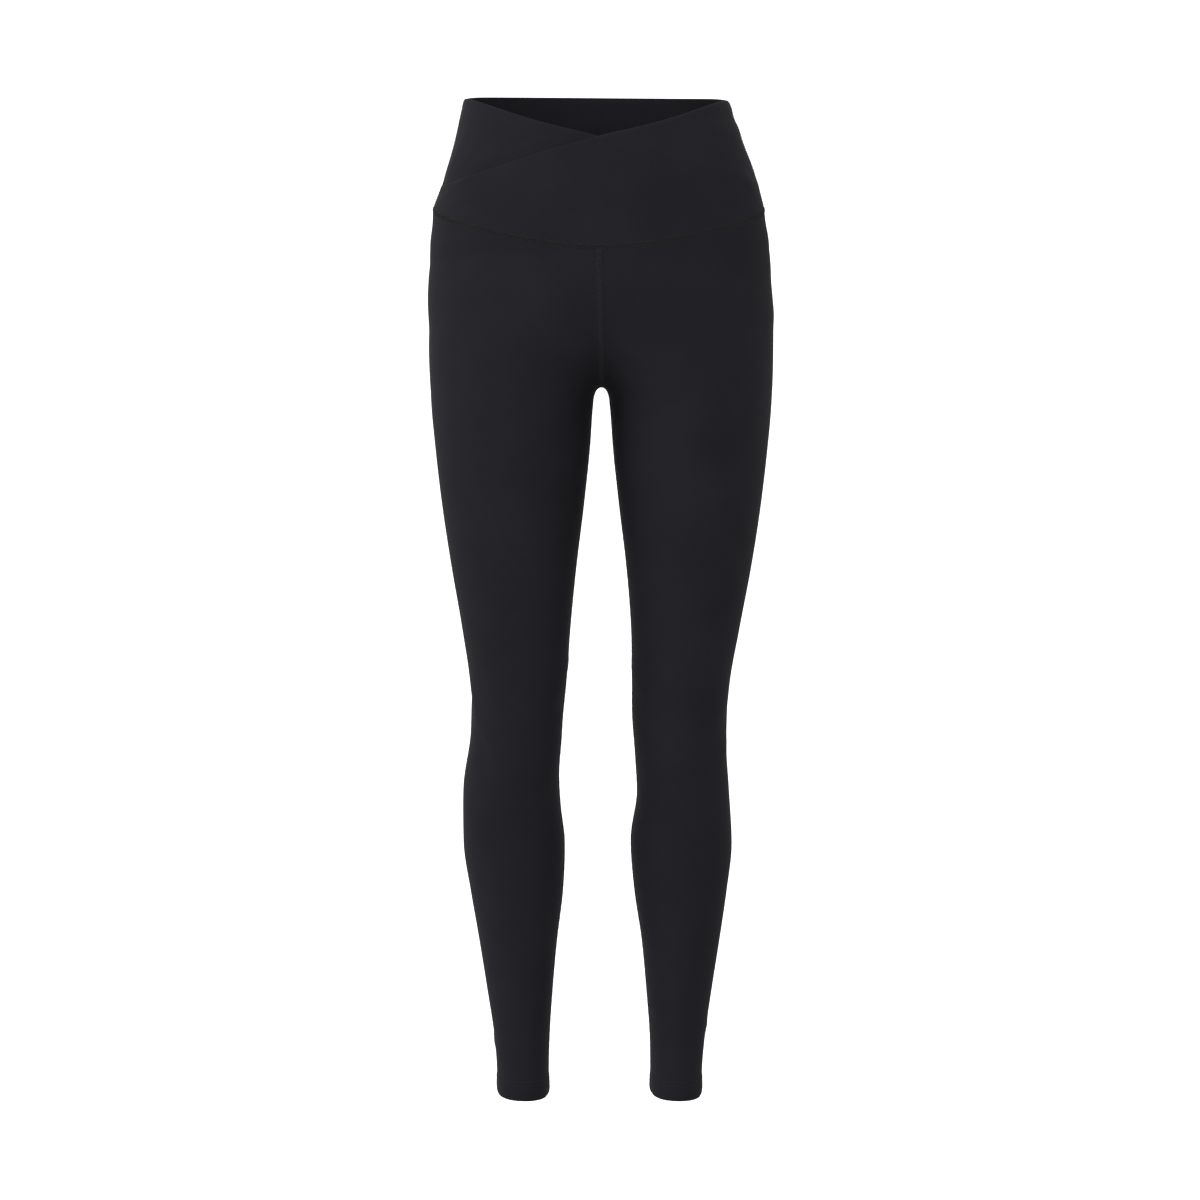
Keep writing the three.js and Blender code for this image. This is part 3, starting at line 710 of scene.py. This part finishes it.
# %% Creases of the waistband
# turn in degrees: 0 the front middle, 90 the wearer's left side, 180 the back middle.
# Then drop, length, width, tilt, bow and depth. Where the front panels lie on each other they
# crease as one cloth, so they share a table.
FRONT_BAND_CREASES = [
    (-70, 84, 60, 5, 40, -3, 0.4), (-52, 66, 84, 6, 24, -3, -0.4), (-30, 56, 80, 6, 12, -2, 0.3),
    (-64, 104, 52, 6, 26, -2, -0.4), (76, 78, 46, 9, -60, 2, 0.6), (68, 108, 50, 8, -20, 3, -0.6),
    (58, 48, 66, 9, -76, 2, -0.45), (70, 70, 52, 8, -40, 2, 0.4), (-30, 86, 90, 10, 12, 2, -0.25),
    (20, 88, 96, 12, -6, 2, 0.25), (0, 112, 110, 10, 2, 3, -0.2),
    (-66, 62, 60, 6, 42, -2, -0.45), (-52, 44, 74, 6, 30, -2, 0.4), (-40, 38, 66, 5, 22, -2, -0.35),
    (-78, 46, 56, 7, 60, 2, 0.4), (-36, 26, 60, 8, 16, 2, 0.25),
]
BACK_BAND_CREASES = [
    (110, 36, 60, 8, -40, 3, -0.5), (122, 62, 74, 9, -28, 4, 0.45), (104, 80, 56, 8, -34, 2, -0.4),
    (178, 92, 70, 8, 4, 3, -0.4), (170, 74, 58, 9, -12, 2, 0.3), (192, 70, 62, 9, 14, 2, 0.3),
    (236, 60, 70, 8, 30, 4, -0.45), (250, 38, 58, 8, 42, 3, 0.45), (254, 82, 54, 7, 30, 2, -0.4),
]
BAND_RADIUS = 128          # the waistband's mean radius, for lengths along a crease
BAND_CREASE_DEPTH = 1.8    # mm, of a crease whose share is 1
UPPER = (upper_shift, FRONT_BAND_CREASES)
UNDER = (under_shift, FRONT_BAND_CREASES)
BACK = (no_shift, BACK_BAND_CREASES)


def band_middle(band, turn, drop):
    """How far the middle of a band's wall lies outside the legs' plain form, in mm."""
    shift, creases = band
    degrees = np.degrees(turn)
    middle = BAND_PROUD - BAND_WALL / 2 + shift(turn, drop)
    middle += BAND_CREASE_DEPTH * crease_shift(creases, degrees, drop, BAND_RADIUS)
    middle += soft_forms(SIDE_FORMS, degrees, drop)
    above = band_seam_drop(turn) - drop
    return middle - LOWER_SINK * np.exp(-(above / LOWER_SINK_HEIGHT) ** 2)


# %% Build the waistband
QUARTER = math.pi / 2
FRONT_TURNS = (-QUARTER, QUARTER)
BACK_TURNS = (QUARTER, 3 * QUARTER)


def build_band(name, turns, edge, band):
    turn = np.linspace(*turns, BAND_COLUMNS + 1)
    fold = np.array(FOLD_PROFILE)
    lower = np.array(LOWER_PROFILE)
    top, bottom = edge(turn), band_seam_drop(turn)
    rows = [top + below for below in fold[:, 0]]
    first, last = rows[-1], bottom - lower[0, 0]
    spread = np.linspace(0, 1, BAND_BODY_ROWS + 1)[1:-1]
    rows += [first + (last - first) * share for share in spread]
    rows += [bottom - above for above in lower[:, 0]]
    drop = np.array(rows)
    body = fold[-1, 1] + (lower[0, 1] - fold[-1, 1]) * spread
    share = np.concatenate([fold[:, 1], body, lower[:, 1]])[:, None]
    turn = np.tile(turn, (len(drop), 1))
    x, y = surface_point(turn + QUARTER, drop)
    middle = band_middle(band, turn, drop)
    half = BAND_WALL / 2
    faces = [placed(x, y, drop, middle + half * share),
             placed(x, y, drop, middle - half * np.minimum(share, INNER_SHARE))]
    across = arc_lengths(placed(x, y, drop))
    piece = wall_mesh(f"{name}_cloth", *faces, False, None, (across, drop))
    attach(piece, "root")
    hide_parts(name)
    print(piece.name, len(piece.data.polygons), "faces")
    return piece


waistband_back = build_band(
    "waistband_back", BACK_TURNS, back_edge_drop, BACK)
waistband_front_left = build_band(
    "waistband_front_left", FRONT_TURNS, lambda turn: front_edge_drop(turn, 1), UPPER)
waistband_front_right = build_band(
    "waistband_front_right", FRONT_TURNS, lambda turn: front_edge_drop(turn, -1), UNDER)

# %% [markdown]
# ## Stitching
# The seams are flatlocked, as on most sportswear: the edges meet flat, two rows of needle thread
# lie a few millimetres apart, and a looper thread zigzags between them and covers the join. Hems
# are turned once and held by a twin needle. Each thread is a thin tube laid on the cloth and
# pressed into it at every stitch. A bump texture could draw it, but would lie flat in profile.

# %% Thread tools
THREAD_RADIUS = 0.2        # mm, a texturised sewing thread
STITCH = 2.5               # mm from needle hole to needle hole
FLATLOCK_HALF = 2.1        # mm from the join to each needle row
THREAD_SIDES = 5
# lift of a stitch above the cloth along its length, and its thickness, both in thread radii
STITCH_ARCH = np.array([-1.4, 0.35, 0.7, 0.7, 0.35, -1.4])
STITCH_TAPER = np.array([0.15, 0.9, 1.0, 1.0, 0.9, 0.15])
STITCH_ENDS = (0.06, 0.94)    # shares of a stitch's length where its thread starts and ends
ZIGZAG_STEPS = 4           # points of the looper thread from one needle row to the other
LOOPER_DIP = 0.4           # thread radii that it lies up where it meets a needle row
# mm that the ridge rises from a needle row to the join
LOOPER_LIFT = RIDGE_HEIGHT * (1 - math.exp(-(FLATLOCK_HALF / RIDGE_WIDTH) ** 2))


def resampled(paths, at, lengths):
    """Points of paths at the given lengths, each path an array of places or normals."""
    return [np.stack([np.interp(at, lengths, path[:, i]) for i in range(3)], 1) for path in paths]


def unit(vectors):
    return vectors / np.linalg.norm(vectors, axis=-1, keepdims=True)


class Threads:
    """Collects many thin tubes, to be one mesh."""

    def __init__(self):
        self.points, self.faces, self.count = [], [], 0

    def add(self, path, normals, radii):
        """A tube of one radius for each point, open at its ends, which lie in the cloth."""
        along = unit(np.gradient(path, axis=0))
        side = unit(np.cross(along, normals))
        up = np.cross(side, along)
        turn = 2 * np.pi * np.arange(THREAD_SIDES) / THREAD_SIDES
        ring = side[:, None] * np.cos(turn)[:, None] + up[:, None] * np.sin(turn)[:, None]
        grid = path[:, None] + ring * (MM * radii)[:, None, None]
        index = self.count + np.arange(grid.shape[0] * THREAD_SIDES).reshape(-1, THREAD_SIDES)
        a, b = index[:-1], index[1:]
        quads = np.stack([a, b, np.roll(b, -1, 1), np.roll(a, -1, 1)], -1)
        self.faces.append(quads.reshape(-1, 4))
        self.points.append(grid.reshape(-1, 3))
        self.count += index.size

    def row(self, path, normals):
        """A row of separate stitches along a path whose points lie on the cloth."""
        lengths = arc_lengths(path[None])[0]
        holes = np.linspace(0, lengths[-1], max(int(round(lengths[-1] / STITCH)), 1) + 1)
        share = np.linspace(*STITCH_ENDS, len(STITCH_ARCH))
        for start, end in zip(holes[:-1], holes[1:]):
            point, normal = resampled((path, normals), start + (end - start) * share, lengths)
            normal = unit(normal)
            lifted = point + normal * (MM * THREAD_RADIUS * STITCH_ARCH)[:, None]
            self.add(lifted, normal, THREAD_RADIUS * STITCH_TAPER)

    def flatlock(self, one, other):
        """Two needle rows, each a path and its normals, and the looper thread between them."""
        self.row(*one)
        self.row(*other)
        lengths = arc_lengths(one[0][None])[0]
        count = max(int(round(2 * lengths[-1] / STITCH)), 2)
        at = np.linspace(0, lengths[-1], count * ZIGZAG_STEPS + 1)
        wave = 0.5 - 0.5 * np.cos(np.pi * np.arange(len(at)) / ZIGZAG_STEPS)
        first, second, normal = resampled((one[0], other[0], one[1] + other[1]), at, lengths)
        normal = unit(normal)
        arch = np.sin(np.pi * wave)
        lift = THREAD_RADIUS * (LOOPER_DIP + (1 - LOOPER_DIP) * arch) + LOOPER_LIFT * arch
        path = first + (second - first) * wave[:, None] + normal * (MM * lift)[:, None]
        self.add(path, normal, np.full(len(path), THREAD_RADIUS))

    def piece(self, name, slot):
        thread = new_piece(name, np.concatenate(self.points), np.concatenate(self.faces))
        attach(thread, "root")
        print(name, len(thread.data.polygons), "faces")
        return thread


# %% Seams on the cloth
SEAM_STEP = 1.0            # mm between the points of a seam's path
WAIST_POINTS = 1400        # round the waist seam
HEM_POINTS = 260           # round a hem
ON_TOP = 0.03              # mm that a needle row's path lies above the cloth
AWAY = 99                  # mm, too far from a seam for its ridge
# mm from a row's ends to the edge, the crotch, the hem or the waist seam
TOP_MARGIN = 2.5
MIDDLE_SEAM_END = 4
INSEAM_START = 5
INSEAM_END = 2
SIDE_SEAM_END = 3


def wrapped(turn):
    """The same turn between minus half a turn and half a turn."""
    return (turn + np.pi) % (2 * np.pi) - np.pi


def beside_middle(mirror, side, drop):
    """A needle row beside the front (-1) or back (1) middle seam, on one leg."""
    s = section_at(drop)
    y = depth_at(s, FLATLOCK_HALF, side)
    angle = np.arctan2(s["middle"] - y, s["lobe"] - FLATLOCK_HALF) % (2 * np.pi)
    return on_leg(mirror, angle, drop, FLATLOCK_HALF, ON_TOP)


def beside_inseam(mirror, turned, drop):
    """A needle row beside the inseam of one leg, turned to the front (1) or the back (-1)."""
    s = section_at(drop)
    angle = turned * FLATLOCK_HALF / (s["lobe"] - s["inner_f"])
    return on_leg(mirror, angle, drop, FLATLOCK_HALF, ON_TOP)


def on_band(turn, drop):
    """Places on the outer face of whichever band piece lies on top, and normals."""
    near = wrapped(turn)
    covered = drop > front_edge_drop(near, 1)
    front = np.where(covered, band_middle(UPPER, near, drop), band_middle(UNDER, near, drop))
    back = band_middle(BACK, turn % (2 * np.pi), drop)
    middle = np.where(abs(near) < QUARTER, front, back)
    x, y = surface_point(turn + QUARTER, drop)
    return placed(x, y, drop, middle + BAND_WALL / 2 + ON_TOP), outward(x, y, drop)


def above_waist_seam(turn):
    return on_band(turn, band_seam_drop(turn) - FLATLOCK_HALF)


def beside_side_seam(side, aside, drop):
    """A needle row aside mm past a side seam of the band, the way that turn grows."""
    turn = side * QUARTER + aside / section_at(drop)["outer"]
    return on_band(turn, drop)


def below_waist_seam(turn):
    drop = band_seam_drop(turn) + FLATLOCK_HALF
    near = wrapped(turn)
    away = np.full_like(turn, AWAY)
    rows = [on_leg(mirror, QUARTER + mirror * near, drop, away, ON_TOP) for mirror in (1, -1)]
    left = (near > 0)[:, None]
    return tuple(np.where(left, one, other) for one, other in zip(*rows))


middle_threads = Threads()
for side, top in ((-1, band_seam_drop(0)), (1, band_seam_drop(np.pi))):
    drops = np.arange(top + TOP_MARGIN, CROTCH_DROP - MIDDLE_SEAM_END, SEAM_STEP)
    middle_threads.flatlock(*[beside_middle(mirror, side, drops) for mirror in (1, -1)])

inseam_threads = Threads()
for mirror in (1, -1):
    drops = np.arange(CROTCH_DROP + INSEAM_START, LENGTH - INSEAM_END, SEAM_STEP)
    inseam_threads.flatlock(*[beside_inseam(mirror, turned, drops) for turned in (1, -1)])

waist_threads = Threads()
turns = np.linspace(0, 2 * np.pi, WAIST_POINTS)
waist_threads.flatlock(above_waist_seam(turns), below_waist_seam(turns))
for side in (1, -1):
    top = back_edge_drop(side * QUARTER) + TOP_MARGIN
    drops = np.arange(top, SIDE_SEAM_DROP - SIDE_SEAM_END, SEAM_STEP)
    rows = [beside_side_seam(side, aside, drops) for aside in (-FLATLOCK_HALF, FLATLOCK_HALF)]
    waist_threads.flatlock(*rows)

hem_threads = Threads()
turns = np.linspace(0, 2 * np.pi, HEM_POINTS)
for mirror in (1, -1):
    for above in NEEDLE_ROWS:
        drops = np.full(len(turns), LENGTH - above)
        hem_threads.row(*on_leg(mirror, turns, drops, AWAY, ON_TOP))

stitching = [
    middle_threads.piece("middle_seam_stitching", "leg_cloth"),
    inseam_threads.piece("inseam_stitching", "leg_cloth"),
    waist_threads.piece("waist_seam_stitching", "band_cloth"),
    hem_threads.piece("hem_stitching", "leg_cloth"),
]

# %% [markdown]
# ## Cloth and thread materials
# The cloth is interlock jersey of polyamide with elastane, knitted fine and brushed on its face.
# Brushing breaks up the gloss, so it is matt and very dark, and its short nap only lightens where
# it is seen at a slant. The knit is too fine to see from here, about a third of a millimetre from
# wale to wale, so it is drawn four times as coarse, as faint upright ribs.


# %% Material tools
MIX_COLOUR = 2             # a Mix node's colour output


def linear(hex_colour):
    """sRGB hex to the linear colour that shaders use."""
    parts = [int(hex_colour[i:i + 2], 16) / 255 for i in (1, 3, 5)]
    return [p / 12.92 if p <= 0.04045 else ((p + 0.055) / 1.055) ** 2.4 for p in parts] + [1]


def node(tree, kind, settings=None, **inputs):
    """Adds a node. settings are its own properties. An input is a value, or a socket to link,
    and goes by its name, or by _ and its number where several share a name."""
    added = tree.nodes.new(kind)
    for key, value in (settings or {}).items():
        setattr(added, key, value)
    for key, value in inputs.items():
        name = key.replace("_", " ")
        socket = added.inputs[int(key[1:])] if key[1:].isdigit() else added.inputs[name]
        if isinstance(value, bpy.types.NodeSocket):
            tree.links.new(value, socket)
        else:
            socket.default_value = value
    return added


def calculate(tree, operation, *values):
    """The result of a Math node. Each of its values is a number, or a socket to link."""
    inputs = {f"_{i}": value for i, value in enumerate(values)}
    return node(tree, "ShaderNodeMath", {"operation": operation}, **inputs).outputs[0]


def new_material(name):
    material = bpy.data.materials.new(name)
    material.use_nodes = True
    tree = material.node_tree
    tree.nodes.clear()
    return material, tree


def finish_material(tree, shader):
    node(tree, "ShaderNodeOutputMaterial", Surface=shader.outputs[0])


def finish_textile(tree, tones, share, height, strength, depth_mm, **surface):
    """Share mixes two tones, height makes the bump, and surface is the shader's own values."""
    colour = node(tree, "ShaderNodeMix", {"data_type": "RGBA"}, Factor=share,
                  _6=linear(tones[0]), _7=linear(tones[1]))
    bump = node(tree, "ShaderNodeBump", Height=height, Strength=strength,
                Distance=depth_mm * MM)
    shader = node(tree, "ShaderNodeBsdfPrincipled", Base_Color=colour.outputs[MIX_COLOUR],
                  Normal=bump.outputs[0], **surface)
    finish_material(tree, shader)


# %% Interlock jersey
JERSEY_TONES = ("#151418", "#1A191E")
WALE_MM = 1.3              # drawn coarser than the real 0.33 mm, so that it shows at all
COURSE_MM = 1.1
COURSE_SHARE = 0.45        # courses stand lower than wales
NAP_MM = 2.2               # clumps of the brushed nap
NAP_HEIGHT = 1.2           # beside that of the wales
NAP_TONE = 0.5             # its share in the tone, beside the broad patches
PATCH_MM = 70
TONE_RANGE = (0.45, 1.05)    # both noises together, from the dark tone to the light
KNIT_DEPTH_MM = 0.06
CLOTH_IOR = 1.53           # polyamide
CLOTH_SPECULAR = 0.1
SHEEN = 0.02


def jersey(name, roughness):
    material, tree = new_material(name)
    knit = node(tree, "ShaderNodeAttribute", {"attribute_name": "knit"})
    parts = node(tree, "ShaderNodeSeparateXYZ", Vector=knit.outputs["Vector"])
    waves = []
    for axis, pitch in (("X", WALE_MM), ("Y", COURSE_MM)):
        scaled = calculate(tree, "MULTIPLY", parts.outputs[axis], 2 * math.pi / (pitch * MM))
        waves.append(calculate(tree, "SINE", scaled))
    course = calculate(tree, "MULTIPLY", waves[1], COURSE_SHARE)
    loops = calculate(tree, "ADD", waves[0], course)
    place = node(tree, "ShaderNodeTexCoord")
    nap = node(tree, "ShaderNodeTexNoise", Vector=place.outputs["Object"],
               Scale=1 / (NAP_MM * MM), Detail=3.0, Roughness=0.6)
    patches = node(tree, "ShaderNodeTexNoise", Vector=place.outputs["Object"],
                   Scale=1 / (PATCH_MM * MM), Detail=2.0, Roughness=0.5)
    mixed = calculate(tree, "MULTIPLY_ADD", nap.outputs["Fac"], NAP_TONE, patches.outputs["Fac"])
    tone = node(tree, "ShaderNodeMapRange", Value=mixed,
                From_Min=TONE_RANGE[0], From_Max=TONE_RANGE[1])
    height = calculate(tree, "MULTIPLY_ADD", nap.outputs["Fac"], NAP_HEIGHT, loops)
    finish_textile(tree, JERSEY_TONES, tone.outputs[0], height, 0.35, KNIT_DEPTH_MM,
                   Roughness=roughness, IOR=CLOTH_IOR, Specular_IOR_Level=CLOTH_SPECULAR,
                   Sheen_Weight=SHEEN, Sheen_Roughness=0.5, Sheen_Tint=linear("#8A8A96"))
    return material


leg_jersey = jersey("brushed_interlock_jersey_legs", 0.9)
band_jersey = jersey("brushed_interlock_jersey_band", 0.88)
for leg in (leg_left, leg_right):
    leg.data.materials.append(leg_jersey)
for band in (waistband_back, waistband_front_left, waistband_front_right):
    band.data.materials.append(band_jersey)
print("jersey:", leg_jersey.name, band_jersey.name)


# %% Texturised polyester thread
THREAD_TONES = ("#222121", "#2A2928")
PLY_MM = 2 * math.pi       # lay of the twisted plies, drawn coarser than the real 0.5 mm
WAVE_RATE = 10             # radians of a diagonal wave to one unit of x, y and z together
PLY_DEPTH_MM = 0.05
THREAD_IOR = 1.57          # polyester
THREAD_SPECULAR = 0.12


def thread_material(name):
    material, tree = new_material(name)
    place = node(tree, "ShaderNodeTexCoord")
    plies = node(tree, "ShaderNodeTexWave", {"bands_direction": "DIAGONAL"},
                 Vector=place.outputs["Object"], Distortion=1.5,
                 Scale=2 * math.pi / (WAVE_RATE * PLY_MM * MM))
    share = plies.outputs["Fac"]
    finish_textile(tree, THREAD_TONES, share, share, 0.4, PLY_DEPTH_MM,
                   Roughness=0.75, IOR=THREAD_IOR, Specular_IOR_Level=THREAD_SPECULAR)
    return material


polyester_thread = thread_material("texturised_polyester_thread")
for row in stitching:
    row.data.materials.append(polyester_thread)
print("thread:", polyester_thread.name)

# %% [markdown]
# ## Floor and light
# A pale sweep, which is a floor that curves up into its walls all round, leaves no line behind the
# garment from any side. Light from it would fill every shadow evenly, so the cloth doesn't see
# it: a soft sky lights the cloth instead. It is brighter above and on the viewer's left, where a
# large soft lamp stands too. That gives the left sides their lighter edge, as in the photograph.
# A second soft lamp stands in front and above, and lifts the faces turned to the camera.

# %% Sweep
FLOOR_DROP = 1.06          # m below the origin, clear of the hems
FLOOR_RADIUS = 5.5
SWEEP_CENTRE = 0.01        # m, radius of a hole in the floor's middle
SWEEP_RADIUS = 2.5         # of the curve from floor to wall
BEND_POINTS = 25
WALL_HEIGHT = 9
SWEEP_SIDES = 96
SWEEP_GLOW = 0.5


def build_sweep():
    bend = np.linspace(0, np.pi / 2, BEND_POINTS)
    radius = np.concatenate([[SWEEP_CENTRE], FLOOR_RADIUS + SWEEP_RADIUS * np.sin(bend)])
    height = np.concatenate([[0], SWEEP_RADIUS * (1 - np.cos(bend))])
    radius = np.append(radius, radius[-1])
    height = np.append(height, WALL_HEIGHT) - FLOOR_DROP
    turn = np.linspace(0, 2 * np.pi, SWEEP_SIDES, endpoint=False)[:, None]
    points = np.stack([radius * np.cos(turn), radius * np.sin(turn), height + 0 * turn], -1)
    index = np.arange(points.shape[0] * points.shape[1]).reshape(points.shape[:2])
    following = np.roll(index, -1, 0)
    faces = np.stack([index[:, :-1], following[:, :-1], following[:, 1:], index[:, 1:]], -1)
    sweep = new_piece("pale_sweep", points.reshape(-1, 3), faces.reshape(-1, 4)[:, ::-1])
    material, tree = new_material("painted_sweep")
    shader = node(tree, "ShaderNodeBsdfPrincipled", Base_Color=linear("#F7F7F7"), Roughness=0.9,
                  Emission_Color=linear("#FFFFFF"), Emission_Strength=SWEEP_GLOW)
    finish_material(tree, shader)
    sweep.data.materials.append(material)
    sweep.visible_diffuse = False
    sweep.visible_glossy = False
    sweep.visible_shadow = False
    sweep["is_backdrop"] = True


build_sweep()

# %% Light
SKY_STRENGTH = 0.92        # level, straight ahead
SKY_LEAN = (-0.22, 0.0, 0.3)    # how much brighter it grows towards +X, +Y and +Z
# place in metres, size in metres and watts of each soft light
SOFT_LIGHTS = {
    "soft_key": ((-3.8, -1.2, 0.6), 2.2, 48),
    "soft_front": ((0.2, -3.4, 0.9), 2.4, 56),
}


def add_light(name, place, size, watts):
    data = bpy.data.lights.new(name, "AREA")
    data.size = size
    data.energy = watts
    lamp = new_object(name, data)
    lamp.location = place
    across, back, up = np.array(AIM) - place
    lean = math.atan2(up, math.hypot(across, back))
    lamp.rotation_euler = (math.pi / 2 + lean, 0, math.atan2(-across, back))


def build_sky():
    world = bpy.data.worlds.new("soft_sky")
    world.use_nodes = True
    tree = world.node_tree
    direction = node(tree, "ShaderNodeTexCoord")
    lean = node(tree, "ShaderNodeVectorMath", {"operation": "DOT_PRODUCT"},
                _0=direction.outputs["Generated"], _1=SKY_LEAN)
    strength = calculate(tree, "ADD", lean.outputs["Value"], SKY_STRENGTH)
    background = tree.nodes["Background"]
    background.inputs["Color"].default_value = (1, 1, 1, 1)
    tree.links.new(strength, background.inputs["Strength"])
    bpy.context.scene.world = world


for name, settings in SOFT_LIGHTS.items():
    add_light(name, *settings)
build_sky()
bpy.context.scene.view_settings.view_transform = "Standard"
print("lights:", [lamp.name for lamp in bpy.data.lights])

# %% Sizes and finish
visual_box = [list(corner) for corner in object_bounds()]
for name, corners in (("CAD", cad_box), ("visual", visual_box)):
    print(name, "box in mm:", [[round(1000 * value, 1) for value in corner] for corner in corners])
